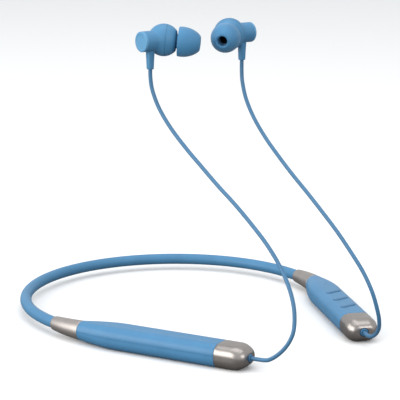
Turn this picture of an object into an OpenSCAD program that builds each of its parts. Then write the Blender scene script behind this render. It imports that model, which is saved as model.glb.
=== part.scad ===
// Neckband earphones: a horseshoe band with two pods, and two corded earpieces held up above it.
// Millimetres. +Z is up, +X is the wearer's left, -Y is forwards.
// The origin is on the inner face of the band, at the back of the neck.

/* [Neckband] */
// Inner radius of the band, where it lies round the neck
neck_r = 64.5; // [60:0.5:80]
// Outer diameter of the silicone sleeve
band_d = 5; // [4.4:0.1:6]
// Turn of the visible sleeve, from the back of the neck to each collar, in degrees
band_turn = 94.4; // [85:0.1:98]
// Diameter of the memory wire inside the sleeve
wire_d = 1.2; // [0.8:0.1:1.5]
// Diameter of the bundle of leads inside the sleeve
lead_d = 1.4; // [0.8:0.1:1.5]

/* [Collars] */
// Turn of each metal collar along the band's arc, in degrees
collar_turn = 13.9; // [10:0.1:18]
// Diameter of a collar where the sleeve enters
collar_back_d = 6.2; // [6:0.1:8]
// Diameter of a collar where it meets the pod
collar_front_d = 8.4; // [7.6:0.1:9.4]
// Turn of the sleeve that is hidden inside a collar, in degrees
sleeve_hold_turn = 6; // [4:0.5:8]

/* [Pods] */
// Length of a pod from its collar to the end cap
pod_len = 66; // [64:1:90]
// Width of a pod across its top face
pod_w = 14; // [13:0.1:18]
// Height of a pod
pod_h = 9.8; // [9.6:0.1:13]
// Corner radius of a pod's cross-section
pod_corner_r = 4.2; // [3.4:0.1:4.6]
// Length over which a pod swells from the collar to its full size
shoulder_len = 20; // [14:1:26]
// Angle by which each pod turns in towards the other, in degrees
pod_toe_in = 24.8; // [15:0.1:30]
// Wall of a pod shell
pod_wall = 1.1; // [0.9:0.1:1.3]
// Height of the parting line between the two shells
parting_z = 0.6; // [0.5:0.1:1]

/* [End caps] */
// Length of an end cap
cap_len = 13.2; // [12:0.2:18]
// Length of the rounded nose of an end cap
nose_len = 6; // [4.5:0.1:8]
// How far the nose pulls in from the cap's side
nose_inset = 3.6; // [2.5:0.1:3.8]
// Wall of an end cap
cap_wall = 1; // [0.8:0.1:1.2]
// Length of the spigot that holds a cap in the pod shells
spigot_len = 2; // [1.5:0.1:2.4]
// Outer diameter of the cord grommet
grommet_d = 3.4; // [2.8:0.1:4]

/* [Buttons] */
// Distance from the collar to the first button
button_start = 32; // [30:0.5:34]
// Distance between neighbouring buttons
button_pitch = 11.5; // [9.5:0.5:12]
// Length of a button bar
button_len = 7.6; // [6:0.1:8.4]
// Width of a button bar
button_w = 1.9; // [1.6:0.1:2.4]
// Slant of the button bars, in degrees
button_slant = 28; // [0:1:35]
// Height of a button above the shell
button_proud = 0.35; // [0.35:0.05:0.8]
// Travel of a button
button_travel = 0.35; // [0.2:0.05:0.35]

/* [Circuit boards] */
// Width of the main board
board_w = 9; // [7:0.1:9.6]
// Thickness of the main board
board_t = 0.8; // [0.6:0.1:1]
// Length of the battery cell
cell_len = 32; // [24:1:32]
// Width of the battery cell
cell_w = 9.4; // [7:0.1:9.6]
// Height of the battery cell
cell_h = 5.6; // [4:0.1:6]
// Depth of the charging socket
port_depth = 6.2; // [5.5:0.1:6.6]

/* [Earpieces] */
// Diameter of an earpiece barrel
barrel_d = 8.7; // [8:0.01:10.5]
// Distance from the middle of the round housing to the back of the barrel
barrel_len = 11.8; // [11:0.1:14]
// Radius of the round driver housing
bulb_r = 6.9; // [6.7:0.1:8]
// Wall of the earpiece housings
ear_wall = 0.9; // [0.7:0.1:1]
// Distance from the middle of the round housing to its flat front
front_flat = 5.4; // [5:0.1:5.8]
// Angle of the nozzle forwards of straight in, in degrees
nozzle_turn = 41; // [25:1:50]
// Angle of the nozzle below level, in degrees
nozzle_drop = 5; // [0:1:15]
// Diameter of the nozzle
nozzle_d = 5; // [4.6:0.1:6]
// Distance from the middle of the round housing to the tip of the nozzle
nozzle_end = 11; // [10:0.1:12.5]
// Largest diameter of an ear tip
tip_d = 12.8; // [11:0.1:14]
// Length of an ear tip
tip_len = 9.4; // [8.4:0.1:10.4]
// Wall of an ear tip's dome
tip_wall = 0.8; // [0.6:0.1:1]
// How fast an ear tip's dome narrows towards its front
tip_taper = 1.5; // [0.8:0.1:1.8]
// Diameter of a speaker driver
driver_d = 9.8; // [8:0.1:10]
// Length of a strain relief below the barrel
relief_len = 7.6; // [5:0.1:8]
// Width of a strain relief at the barrel
relief_w = 3.9; // [3.4:0.1:4.2]

/* [Cords] */
// Diameter of the earpiece cords
cord_d = 1.7; // [1.4:0.1:1.9]

/* [Hidden] */
fit_gap = 0.1;
join = 0.1;
moving_gap = 0.3;
slice_t = 0.2;
band_r = neck_r + band_d / 2;
joint_turn = band_turn + collar_turn;
joint_x = band_r * sin(joint_turn);
joint_y = band_r * cos(joint_turn) - neck_r;
shoulder_mid_share = 0.5;
shoulder_mid_swell = 0.68;
pod_end = pod_len + cap_len;
cavity_h = pod_h - 2 * pod_wall;
wire_z = 0.85;
lead_z = -0.85;
lead_tail = 3;
board_top = 0.4;
board_start = 16;
board_end = 59;
screw_spots = [12.5, 62];
screw_d = 1.4;
screw_head_d = 2.4;
screw_head_h = 0.9;
screw_len = 5.6;
screw_seat = -pod_h / 2 + screw_head_h;
boss_d = 3;
switch_r = 1.6;
switch_h = 0.5;
stem_r = 1;
button_skirt = 0.8;
flange_d = grommet_d + 1.4;
port_w = 8.94;
port_h = 3.26;
port_x = 24;
port_z = board_top - board_t - port_h / 2;
port_mouth = pod_w / 2 - 1.8;
radio_x = 20.5;
radio_len = 6;
radio_w = 7;
radio_h = 1.6;
mic_x = 54;
light_x = 18;
light_d = 1.4;
cell_start = 16;
cell_board_t = 1;
motor_d = 4.4;
motor_len = 7;
motor_start = cell_start + cell_len + cell_board_t + 1;
shaft_d = 0.8;
weight_gap = 0.5;
weight_len = 2.2;
weight_r = 2.6;
ear_x = 17.5;
ear_y = -80;
ear_z = 118.5;
relief_x = 7;
relief_plug_d = relief_w - 1;
back_cap_t = 1.2;
magnet_d = 6;
magnet_t = 2;
housing_split = 1.2;
driver_t = 3.6;
driver_start = -1.6;
lip_d = nozzle_d + 0.6;
lip_len = 0.8;
mesh_t = 0.2;
stem_wall = 0.7;
tip_hole_d = 4.3;
tip_start = nozzle_end + 4.6 - tip_len;
cord_sides = 8;
cord_steps = 2;

// The cord's route on the left side, from the grommet's mouth up to the strain relief
cord_points = [
    [30.4, -157.4, 0], [28.6, -161.3, 0], [27.6, -165, 0.6], [26.8, -168.4, 2.6], [25.4, -171.6, 5.8],
    [23.6, -173.8, 10], [22, -174.3, 15], [20.6, -172.4, 22.5], [19.6, -167.8, 30], [18.8, -160.8, 37.2],
    [18.6, -152.2, 44.2], [18.8, -142.2, 50.8], [19.2, -132, 57], [19.8, -121.6, 62.8],
    [20.4, -111.4, 69], [21.2, -101.4, 75.4], [22.2, -92, 82.6], [23.2, -85, 90],
    [24, -81.2, 97], [24.4, -80.1, 102.4], [24.5, -80, 107.4]
];

// ---- Placing ----

// The wearer's right side is the left side in a mirror
module on_side(side) {
    if (side == "left") children();
    else mirror([1, 0, 0]) children();
}

// A point on the band's centre line: X is outwards, Y runs back along the band
module at_arc(turn) {
    translate([0, -neck_r, 0]) rotate([0, 0, 90 - turn]) translate([band_r, 0, 0]) children();
}

// The left pod's own frame: X runs from the collar to the tip, Y is outwards
module in_pod() {
    translate([joint_x, joint_y, 0]) rotate([0, 0, -90 - pod_toe_in]) children();
}

// The left earpiece's own frame: the middle of the round housing, X is outwards along the barrel
module in_ear() {
    translate([ear_x, ear_y, ear_z]) children();
}

// The left nozzle's frame: Z runs out of the nozzle
module in_nozzle() {
    in_ear() rotate([0, 0, 180 + nozzle_turn]) rotate([0, 90 + nozzle_drop, 0]) children();
}

// ---- Shared shapes ----

// A stretch of the band's arc with a round section, from one turn to another
module arc_rod(from, to, d, z) {
    translate([0, -neck_r, 0])
        rotate_extrude(angle = to - from, start = 90 - to, $fn = 240)
            translate([band_r, z]) circle(d = d, $fn = 32);
}

// A thin slice of a collar or of the pod's start, square to the band's arc, forwards of one turn
module arc_slice(turn, d, shift = 0) {
    at_arc(turn) translate([0, -shift, 0]) rotate([90, 0, 0]) cylinder(d = d, h = slice_t, $fn = 32);
}

// A rectangle with round corners
module rounded(w, h, r) {
    for (x = [-1, 1], y = [-1, 1]) translate([x * (w / 2 - r), y * (h / 2 - r)]) circle(r = r, $fn = 32);
    square([w - 2 * r, h], center = true);
    square([w, h - 2 * r], center = true);
}

// A length of the pod's rounded section, forwards of one place
module pod_bar(x, len, w, h, r) {
    translate([x, 0, 0]) rotate([90, 0, 90]) linear_extrude(len) rounded(w, h, r);
}

// The pod between its collar and its end cap, pulled in by a wall and made longer or shorter
module pod_solid(inset, start_shift, end_shift) {
    w = pod_w - 2 * inset;
    h = pod_h - 2 * inset;
    r = pod_corner_r - inset;
    less = 1 - shoulder_mid_swell;
    hull() {
        arc_slice(joint_turn, collar_front_d - 2 * inset, start_shift);
        in_pod() pod_bar(shoulder_len * shoulder_mid_share, slice_t,
            w - (pod_w - collar_front_d) * less, h - (pod_h - collar_front_d) * less, r);
        in_pod() pod_bar(shoulder_len, pod_len + end_shift - shoulder_len, w, h, r);
    }
}

// The outside of an end cap, pulled in by a wall, in the pod's frame
module cap_solid(inset, start_shift) {
    flat_end = pod_end - nose_len;
    steps = 6;
    hull() {
        pod_bar(pod_len + start_shift, flat_end - pod_len - start_shift,
            pod_w - 2 * inset, pod_h - 2 * inset, pod_corner_r - inset);
        for (i = [1 : steps]) {
            pull = inset + nose_inset * (1 - cos(90 * i / steps));
            w = pod_w - 2 * pull;
            h = pod_h - 2 * pull;
            x = flat_end - slice_t + (nose_len - inset) * sin(90 * i / steps);
            pod_bar(x, slice_t, w, h, min(pod_corner_r - inset, h / 2 - 0.1));
        }
    }
}

// Everything above or below the parting line
module half_space(up) {
    size = 6 * neck_r;
    z = up ? parting_z : parting_z - size;
    translate([-size / 2, -size / 2, z]) cube([size, size, size]);
}

// ---- Band ----

module band_sleeve() {
    end = band_turn + sleeve_hold_turn;
    color("steelblue") difference() {
        arc_rod(-end, end, band_d, 0);
        arc_rod(-end - 1, end + 1, wire_d + fit_gap, wire_z);
        arc_rod(-end - 1, end + 1, lead_d + fit_gap, lead_z);
    }
}

module memory_wire() {
    end = joint_turn - 1;
    color("silver") arc_rod(-end, end, wire_d, wire_z);
}

module lead_bundle() {
    end = joint_turn + lead_tail;
    color("dimgray") arc_rod(-end, end, lead_d, lead_z);
}

// Diameter of a collar part of the way along it
function collar_at(share) = collar_back_d + (collar_front_d - collar_back_d) * share;

module collar(side) {
    steps = 4;
    color("silver") on_side(side) difference() {
        for (i = [0 : steps - 1]) hull() {
            arc_slice(band_turn + collar_turn * i / steps, collar_at(i / steps), i > 0 ? -slice_t : 0);
            arc_slice(band_turn + collar_turn * (i + 1) / steps, collar_at((i + 1) / steps), -slice_t);
        }
        arc_rod(band_turn - 1, band_turn + sleeve_hold_turn, band_d + fit_gap, 0);
        arc_rod(band_turn, joint_turn + 1, wire_d + fit_gap, wire_z);
        arc_rod(band_turn, joint_turn + 1, lead_d + fit_gap, lead_z);
    }
}

// ---- Pod shells ----

module screw_hole(x) {
    hole_top = screw_seat + screw_len + 0.3;
    translate([x, 0, -pod_h]) cylinder(d = screw_d + fit_gap, h = pod_h + hole_top, $fn = 24);
    translate([x, 0, -pod_h]) cylinder(d = screw_head_d + 2 * fit_gap, h = pod_h + screw_seat, $fn = 32);
}

// The screw bosses inside a pod, from floor to ceiling
module bosses() {
    for (x = screw_spots) translate([x, 0, -pod_h / 2]) cylinder(d = boss_d, h = pod_h, $fn = 32);
}

// Ribs on the floor of the lower shell, up to what lies on them
module floor_ribs(spots, top) {
    rib_t = 1.2;
    for (x = spots) translate([x, -pod_w / 2, -pod_h / 2]) cube([rib_t, pod_w, top + pod_h / 2]);
}

module shell_half(up, ribs, rib_top) {
    difference() {
        union() {
            difference() {
                pod_solid(0, 0, 0);
                pod_solid(pod_wall, pod_wall, 1);
            }
            intersection() {
                pod_solid(pod_wall / 2, pod_wall / 2, -spigot_len - fit_gap);
                in_pod() union() {
                    bosses();
                    if (!up) floor_ribs(ribs, rib_top);
                }
            }
        }
        half_space(!up);
        in_pod() for (x = screw_spots) screw_hole(x);
        arc_rod(joint_turn - 1, joint_turn + lead_tail + 1, lead_d + 2 * fit_gap, lead_z);
    }
}

module button_place(i) {
    translate([button_start + i * button_pitch, 0, 0]) rotate([0, 0, button_slant]) children();
}

module button_bar(grow, low, high) {
    w = button_w + 2 * grow;
    l = button_len + 2 * grow;
    translate([0, 0, low]) {
        translate([-w / 2, -(l - w) / 2, 0]) cube([w, l - w, high - low]);
        for (s = [-1, 1]) translate([0, s * (l - w) / 2, 0]) cylinder(d = w, h = high - low, $fn = 32);
    }
}

module left_upper_shell() {
    color("steelblue") difference() {
        shell_half(true, [], 0);
        in_pod() for (i = [0 : 2]) button_place(i) {
            button_bar(moving_gap, 0, pod_h);
            button_bar(button_skirt + moving_gap, 0, pod_h / 2 - pod_wall);
        }
        in_pod() translate([light_x, 0, 0]) cylinder(d = light_d + fit_gap, h = pod_h, $fn = 32);
    }
}

module left_lower_shell() {
    color("steelblue") difference() {
        shell_half(false, [34, 47], board_top - board_t);
        in_pod() port_cut();
        in_pod() translate([mic_x, 0, -pod_h]) cylinder(d = 1, h = pod_h, $fn = 24);
    }
}

module right_upper_shell() {
    color("steelblue") on_side("right") shell_half(true, [], 0);
}

module right_lower_shell() {
    color("steelblue") on_side("right") shell_half(false, [22, 40], -cell_h / 2);
}

module pod_screws(side) {
    color("dimgray") on_side(side) in_pod() for (x = screw_spots) {
        head_h = screw_head_h - 0.1;
        slot = [1.5, 0.3, 0.8];
        translate([x, 0, screw_seat]) cylinder(d = screw_d, h = screw_len, $fn = 24);
        difference() {
            translate([x, 0, screw_seat - head_h]) cylinder(d = screw_head_d, h = head_h, $fn = 32);
            for (a = [0, 90]) translate([x, 0, screw_seat - head_h]) rotate([0, 0, a])
                cube(slot, center = true);
        }
    }
}

// ---- End caps ----

module end_cap(side) {
    lip = pod_wall + fit_gap;
    lip_t = 0.8;
    web = 1;
    core = lip + lip_t;
    color("silver") on_side(side) in_pod() difference() {
        union() {
            cap_solid(0, 0);
            pod_bar(pod_len - spigot_len, spigot_len + web / 2,
                pod_w - 2 * lip, pod_h - 2 * lip, pod_corner_r - lip);
        }
        cap_solid(cap_wall, web);
        pod_bar(pod_len - spigot_len - 1, spigot_len + web + 1.5,
            pod_w - 2 * core, pod_h - 2 * core, pod_corner_r - core);
        translate([pod_end - nose_len, 0, 0]) rotate([0, 90, 0]) {
            cylinder(d = grommet_d + 2 * moving_gap, h = nose_len + 1, $fn = 48);
            cylinder(d = flange_d + 2 * fit_gap, h = nose_len - cap_wall, $fn = 48);
        }
    }
}

// A ring with a flange behind the cap's wall and a rounded mouth
module grommet(side) {
    flange_t = 1;
    tail = 3;
    proud = 0.4;
    soft = 0.3;
    color("steelblue") on_side(side) in_pod() translate([pod_end, 0, 0]) rotate([0, 90, 0])
        rotate_extrude($fn = 48) polygon([
            [cord_d / 2, -tail], [grommet_d / 2, -tail],
            [grommet_d / 2, -cap_wall - flange_t - fit_gap], [flange_d / 2, -cap_wall - flange_t - fit_gap],
            [flange_d / 2, -cap_wall - fit_gap], [grommet_d / 2, -cap_wall - fit_gap],
            [grommet_d / 2, proud - soft], [grommet_d / 2 - soft, proud], [cord_d / 2, proud]
        ]);
}

// ---- Buttons ----

// One bar with a skirt that holds it in the shell and a stem over its switch
module button(i) {
    top = pod_h / 2 + button_proud;
    skirt_top = pod_h / 2 - pod_wall - fit_gap;
    stem_end = board_top + switch_h + button_travel + 0.05;
    color("cornflowerblue") in_pod() button_place(i) {
        button_bar(0, skirt_top - join, top);
        button_bar(button_skirt, skirt_top - button_skirt, skirt_top);
        translate([0, 0, stem_end])
            cylinder(r = stem_r, h = skirt_top - button_skirt - stem_end + join, $fn = 32);
    }
}

// ---- Inside the left pod ----

module main_board() {
    boss_gap = 0.2;
    color("darkgreen") in_pod() difference() {
        translate([board_start, -board_w / 2, board_top - board_t])
            cube([board_end - board_start, board_w, board_t]);
        for (x = screw_spots) translate([x, 0, board_top - 2 * board_t])
            cylinder(d = boss_d + 2 * boss_gap, h = 3 * board_t, $fn = 32);
    }
}

module dome_switches() {
    color("gold") in_pod() for (i = [0 : 2]) button_place(i)
        translate([0, 0, board_top]) cylinder(r = switch_r, h = switch_h, $fn = 32);
}

module radio_module() {
    color("silver") in_pod() translate([radio_x, -radio_w / 2, board_top])
        cube([radio_len, radio_w, radio_h]);
}

module microphone() {
    can = [2.8, 2, 1];
    hole_d = 0.6;
    color("gold") in_pod() translate([mic_x, 0, board_top - board_t - can[2] / 2]) difference() {
        cube(can, center = true);
        translate([0, 0, -can[2]]) cylinder(d = hole_d, h = can[2], $fn = 24);
    }
}

module status_light() {
    color("white") in_pod() translate([light_x, 0, board_top + 0.6])
        cylinder(d = light_d, h = pod_h / 2 - board_top - 0.9, $fn = 32);
}

// The socket's outline, square to the pod's outer side
module port_profile(grow) {
    d = port_h + 2 * grow;
    for (s = [-1, 1]) translate([s * (port_w - port_h) / 2, 0]) circle(d = d, $fn = 32);
    square([port_w - port_h, d], center = true);
}

module port_cut() {
    translate([port_x, port_mouth - port_depth, port_z]) rotate([-90, 0, 0])
        linear_extrude(pod_w) port_profile(fit_gap);
}

module charging_socket() {
    shell_t = 0.3;
    tongue_t = 0.7;
    color("silver") in_pod() translate([port_x, port_mouth - port_depth, port_z]) rotate([-90, 0, 0]) {
        difference() {
            linear_extrude(port_depth) port_profile(0);
            translate([0, 0, 0.6]) linear_extrude(port_depth) port_profile(-shell_t);
        }
        translate([-(port_w - port_h) / 2, -tongue_t / 2, 0.5])
            cube([port_w - port_h, tongue_t, port_depth - 1.5]);
    }
}

// ---- Inside the right pod ----

module battery_cell() {
    soft = 1.2;
    color("lightgray") on_side("right") in_pod()
        pod_bar(cell_start, cell_len, cell_w, cell_h, soft);
}

module cell_board() {
    color("darkgreen") on_side("right") in_pod()
        translate([cell_start + cell_len, -cell_w / 2 + 1, -cell_h / 2 + 0.8])
            cube([cell_board_t, cell_w - 2, cell_h - 1.6]);
}

module vibration_motor() {
    seat_w = 5;
    color("gray") on_side("right") in_pod() translate([motor_start, 0, 0]) difference() {
        union() {
            rotate([0, 90, 0]) cylinder(d = motor_d, h = motor_len, $fn = 48);
            translate([0.5, -seat_w / 2, -cavity_h / 2]) cube([motor_len - 1, seat_w, cavity_h / 2 - 1]);
        }
        translate([motor_len - 4, 0, 0]) rotate([0, 90, 0]) cylinder(d = shaft_d + 0.3, h = 5, $fn = 32);
    }
}

// A half disc on its shaft, which shakes the pod as it spins
module motor_weight() {
    hub_r = 1;
    color("darkgray") on_side("right") in_pod() translate([motor_start + motor_len + weight_gap, 0, 0]) {
        rotate([0, 90, 0]) cylinder(r = hub_r, h = weight_len, $fn = 48);
        rotate([0, 90, 0]) translate([0, 0, -3.5]) cylinder(d = shaft_d, h = 3.6, $fn = 32);
        intersection() {
            rotate([0, 90, 0]) cylinder(r = weight_r, h = weight_len, $fn = 48);
            translate([-1, -weight_r, -weight_r]) cube([weight_len + 2, 2 * weight_r, weight_r]);
        }
    }
}

// ---- Earpieces ----

module barrel(side) {
    body_r = barrel_d / 2;
    color("steelblue") on_side(side) difference() {
        union() {
            in_ear() rotate([0, 90, 0]) cylinder(r = body_r, h = barrel_len - back_cap_t, $fn = 64);
            in_nozzle() difference() {
                sphere(r = bulb_r, $fn = 64);
                translate([0, 0, housing_split]) cylinder(r = 2 * bulb_r, h = 2 * bulb_r, $fn = 64);
            }
        }
        in_ear() rotate([0, 90, 0]) cylinder(r = body_r - ear_wall, h = 2 * barrel_len, $fn = 64);
        in_nozzle() sphere(r = bulb_r - ear_wall, $fn = 64);
        in_nozzle() translate([0, 0, housing_split]) cylinder(r = 2 * bulb_r, h = 2 * bulb_r, $fn = 64);
        in_ear() translate([relief_x, 0, -barrel_d])
            cylinder(d = relief_plug_d + fit_gap, h = barrel_d, $fn = 32);
    }
}

module back_cap(side) {
    lip_r = barrel_d / 2 - ear_wall - fit_gap;
    edge = 0.4;
    color("cornflowerblue") on_side(side) in_ear() translate([barrel_len - back_cap_t, 0, 0])
        rotate([0, 90, 0]) rotate_extrude($fn = 64) polygon([
            [0, -1], [lip_r, -1], [lip_r, 0], [barrel_d / 2, 0],
            [barrel_d / 2, back_cap_t - edge], [barrel_d / 2 - edge, back_cap_t], [0, back_cap_t]
        ]);
}

module magnet(side) {
    color("silver") on_side(side) in_ear() translate([barrel_len - back_cap_t - 1 - magnet_t, 0, 0])
        rotate([0, 90, 0]) cylinder(d = magnet_d, h = magnet_t, $fn = 48);
}

// A flat can with a raised dome at the front
module driver(side) {
    dome_r = driver_d / 2 - 1.2;
    dome_h = 0.5;
    color("dimgray") on_side(side) in_nozzle() translate([0, 0, driver_start]) {
        cylinder(d = driver_d, h = driver_t, $fn = 64);
        translate([0, 0, driver_t]) cylinder(r1 = dome_r, r2 = dome_r - 1.5, h = dome_h, $fn = 64);
    }
}

module nozzle_housing(side) {
    base_d = nozzle_d + 1;
    base_end = tip_start + 0.2;
    lip_end = nozzle_end - 1;
    root = 1;
    color("steelblue") on_side(side) in_nozzle() difference() {
        union() {
            intersection() {
                sphere(r = bulb_r, $fn = 64);
                translate([0, 0, housing_split])
                    cylinder(r = bulb_r, h = front_flat - housing_split, $fn = 64);
            }
            translate([0, 0, front_flat - root])
                cylinder(d = base_d, h = base_end - front_flat + root, $fn = 48);
            translate([0, 0, front_flat - root])
                cylinder(d = nozzle_d, h = nozzle_end - front_flat + root, $fn = 48);
            translate([0, 0, lip_end - lip_len]) cylinder(d = lip_d, h = lip_len, $fn = 48);
        }
        intersection() {
            sphere(r = bulb_r - ear_wall, $fn = 64);
            cylinder(r = bulb_r, h = front_flat - ear_wall, $fn = 64);
        }
        cylinder(d = nozzle_d - 1.4, h = nozzle_end - mesh_t - 0.4, $fn = 48);
        cylinder(d = nozzle_d - 1, h = 2 * nozzle_end, $fn = 48);
    }
}

module nozzle_mesh(side) {
    color("dimgray") on_side(side) in_nozzle() translate([0, 0, nozzle_end - mesh_t - 0.4])
        cylinder(d = nozzle_d - 1, h = mesh_t, $fn = 48);
}

// A silicone mushroom: a stem over the nozzle and a dome folded back round it
module ear_tip(side) {
    bore_r = lip_d / 2 + moving_gap / 2;
    stem_r = bore_r + stem_wall;
    stop = nozzle_end - tip_start + 0.4;
    r = tip_d / 2;
    hole_r = tip_hole_d / 2;
    brim = 1.6;
    dome = tip_len - brim;
    ring_r = hole_r + 0.8;
    outer = [for (t = [0 : 10 : 90])
        [ring_r + (r - ring_r) * pow(cos(t), tip_taper), brim + dome * sin(t)]];
    inner = [for (t = [80 : -10 : 0])
        [ring_r + (r - ring_r) * pow(cos(t), tip_taper) - tip_wall, brim + (dome - 1.2) * sin(t)]];
    skirt = [for (p = inner) if (p[0] > stem_r + 0.3) p];
    color("lightsteelblue") on_side(side) in_nozzle() translate([0, 0, tip_start])
        rotate_extrude($fn = 64) polygon(concat(
            [[r - 0.15, 0]], outer,
            [[hole_r, tip_len], [hole_r, stop], [bore_r, stop], [bore_r, 0.6],
            [stem_r, 0.6], [stem_r, skirt[0][1]]],
            skirt, [[r - tip_wall - 0.15, 0]]
        ));
}

module strain_relief(side) {
    foot_w = relief_w - 0.9;
    bottom = -barrel_d / 2 - relief_len;
    slab = 0.2;
    soft = 0.8;
    color("steelblue") on_side(side) in_ear() translate([relief_x, 0, 0]) difference() {
        union() {
            difference() {
                hull() {
                    translate([0, 0, -barrel_d / 2 + 0.6])
                        linear_extrude(slab) rounded(relief_w, relief_w, soft);
                    translate([0, 0, bottom]) linear_extrude(slab) rounded(foot_w, foot_w, soft);
                }
                translate([-relief_x, 0, 0]) rotate([0, 90, 0])
                    cylinder(r = barrel_d / 2 + fit_gap / 2, h = 2 * barrel_len, $fn = 64);
                translate([-relief_x, 0, 0]) sphere(r = bulb_r + fit_gap / 2, $fn = 64);
            }
            translate([0, 0, -barrel_d / 2 - 1])
                cylinder(d = relief_plug_d, h = 1 + ear_wall + fit_gap, $fn = 32);
        }
        translate([0, 0, bottom - 1]) cylinder(d = cord_d, h = 3, $fn = 32);
    }
}

// ---- Cords ----

// A point of a smooth curve through four neighbouring points
function blend(a, b, c, d, t) =
    0.5 * (2 * b + (c - a) * t + (2 * a - 5 * b + 4 * c - d) * t * t + (3 * b - a - 3 * c + d) * t * t * t);

function clamp_at(points, i) = points[max(0, min(len(points) - 1, i))];

function smooth(points, steps) = [
    for (i = [0 : len(points) - 2], j = [0 : steps - 1])
        blend(clamp_at(points, i - 1), points[i], points[i + 1], clamp_at(points, i + 2), j / steps),
    points[len(points) - 1]
];

function unit(v) = v / norm(v);

function heading(line, i) = unit(clamp_at(line, i + 1) - clamp_at(line, i - 1));

// A ring of points round the line at point i
function ring(line, i, r, sides) =
    let(along = heading(line, i), across = unit(cross(along, [0, 1, 0.2])), over = cross(along, across))
    [for (k = [0 : sides - 1]) line[i] + r * (cos(360 * k / sides) * across + sin(360 * k / sides) * over)];

// A tube swept along a line
module tube(line, d, sides) {
    n = len(line);
    points = [for (i = [0 : n - 1]) each ring(line, i, d / 2, sides)];
    walls = [for (i = [0 : n - 2], k = [0 : sides - 1])
        let(a = i * sides, b = a + sides, next = (k + 1) % sides) [a + k, a + next, b + next, b + k]];
    start = [[for (k = [sides - 1 : -1 : 0]) k]];
    end = [[for (k = [0 : sides - 1]) (n - 1) * sides + k]];
    polyhedron(points, concat(walls, start, end), convexity = 6);
}

module cord(side) {
    color("steelblue") on_side(side) tube(smooth(cord_points, cord_steps), cord_d, cord_sides);
}

// ---- Parts ----

band_sleeve();
memory_wire();
lead_bundle();
collar("left");  // left_collar
collar("right");  // right_collar
left_upper_shell();
left_lower_shell();
right_upper_shell();
right_lower_shell();
pod_screws("left");  // left_pod_screws
pod_screws("right");  // right_pod_screws
end_cap("left");  // left_end_cap
end_cap("right");  // right_end_cap
grommet("left");  // left_grommet
grommet("right");  // right_grommet
button(0);  // volume_up_button
button(1);  // play_button
button(2);  // volume_down_button
main_board();
dome_switches();
radio_module();
microphone();
status_light();
charging_socket();
battery_cell();
cell_board();
vibration_motor();
motor_weight();
cord("left");  // left_cord
cord("right");  // right_cord
strain_relief("left");  // left_strain_relief
strain_relief("right");  // right_strain_relief
barrel("left");  // left_barrel
barrel("right");  // right_barrel
back_cap("left");  // left_back_cap
back_cap("right");  // right_back_cap
magnet("left");  // left_magnet
magnet("right");  // right_magnet
driver("left");  // left_driver
driver("right");  // right_driver
nozzle_housing("left");  // left_nozzle_housing
nozzle_housing("right");  // right_nozzle_housing
nozzle_mesh("left");  // left_nozzle_mesh
nozzle_mesh("right");  // right_nozzle_mesh
ear_tip("left");  // left_ear_tip
ear_tip("right");  // right_ear_tip
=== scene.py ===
import math

import bmesh
import bpy
import numpy as np
from mathutils import Matrix, Vector


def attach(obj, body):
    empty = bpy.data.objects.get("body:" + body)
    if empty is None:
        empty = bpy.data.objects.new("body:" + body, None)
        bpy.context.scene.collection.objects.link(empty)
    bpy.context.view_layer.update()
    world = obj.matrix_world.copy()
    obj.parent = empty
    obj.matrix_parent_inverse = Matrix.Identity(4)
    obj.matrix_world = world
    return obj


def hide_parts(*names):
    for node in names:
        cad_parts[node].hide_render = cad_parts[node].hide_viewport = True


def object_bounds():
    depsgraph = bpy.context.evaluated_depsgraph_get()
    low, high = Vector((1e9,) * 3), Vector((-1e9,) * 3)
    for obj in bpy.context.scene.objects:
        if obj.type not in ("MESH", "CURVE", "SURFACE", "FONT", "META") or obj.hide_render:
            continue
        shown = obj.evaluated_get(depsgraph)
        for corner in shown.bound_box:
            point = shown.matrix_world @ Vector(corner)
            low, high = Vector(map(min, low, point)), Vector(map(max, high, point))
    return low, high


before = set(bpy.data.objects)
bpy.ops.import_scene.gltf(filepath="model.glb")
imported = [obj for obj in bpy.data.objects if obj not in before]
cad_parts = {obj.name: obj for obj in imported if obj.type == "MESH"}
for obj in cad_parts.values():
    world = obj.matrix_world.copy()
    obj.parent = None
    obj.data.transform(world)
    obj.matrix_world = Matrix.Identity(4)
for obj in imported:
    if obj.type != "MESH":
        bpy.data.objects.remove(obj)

cadLow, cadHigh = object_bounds()
mm = 0.001  # every size below is in millimetres
mainBody = "neckband"
sides = {"left": 1, "right": -1}


# Camera, at the distance and height of a product shot

camera = {"place": (-461.5, -702.1, 218.6), "lookAt": (63.4, 2.5, 23.8), "lens": 163.35, "roll": 0.2}


def addCamera():
    data = bpy.data.cameras.new("camera")
    data.lens = camera["lens"]
    data.sensor_width = 36
    data.clip_start = 0.05
    obj = bpy.data.objects.new("camera", data)
    bpy.context.collection.objects.link(obj)
    place = Vector(camera["place"]) * mm
    aim = (Vector(camera["lookAt"]) * mm - place).to_track_quat("-Z", "Y").to_matrix().to_4x4()
    roll = Matrix.Rotation(math.radians(camera["roll"]), 4, "Z")
    obj.matrix_world = Matrix.Translation(place) @ aim @ roll
    bpy.context.scene.camera = obj


addCamera()
print("camera placed")


# Cords, from each grommet's mouth up to the strain relief

cord = {"diameter": 1.7, "length": 166}
cordRoute = [
    (30.4, -157.4, 0), (28.6, -161.3, 0), (27.6, -165, 0.6), (26.8, -168.4, 2.6), (25.4, -171.6, 5.8),
    (23.6, -173.8, 10), (22, -174.3, 15), (20.6, -172.4, 22.5), (19.6, -167.8, 30), (18.8, -160.8, 37.2),
    (18.6, -152.2, 44.2), (18.8, -142.2, 50.8), (19.2, -132, 57), (19.8, -121.6, 62.8),
    (20.4, -111.4, 69), (21.2, -101.4, 75.4), (22.2, -92, 82.6), (23.2, -85, 90),
    (24, -81.2, 97), (24.4, -80.1, 102.4), (24.5, -80, 107.4),
]


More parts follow.
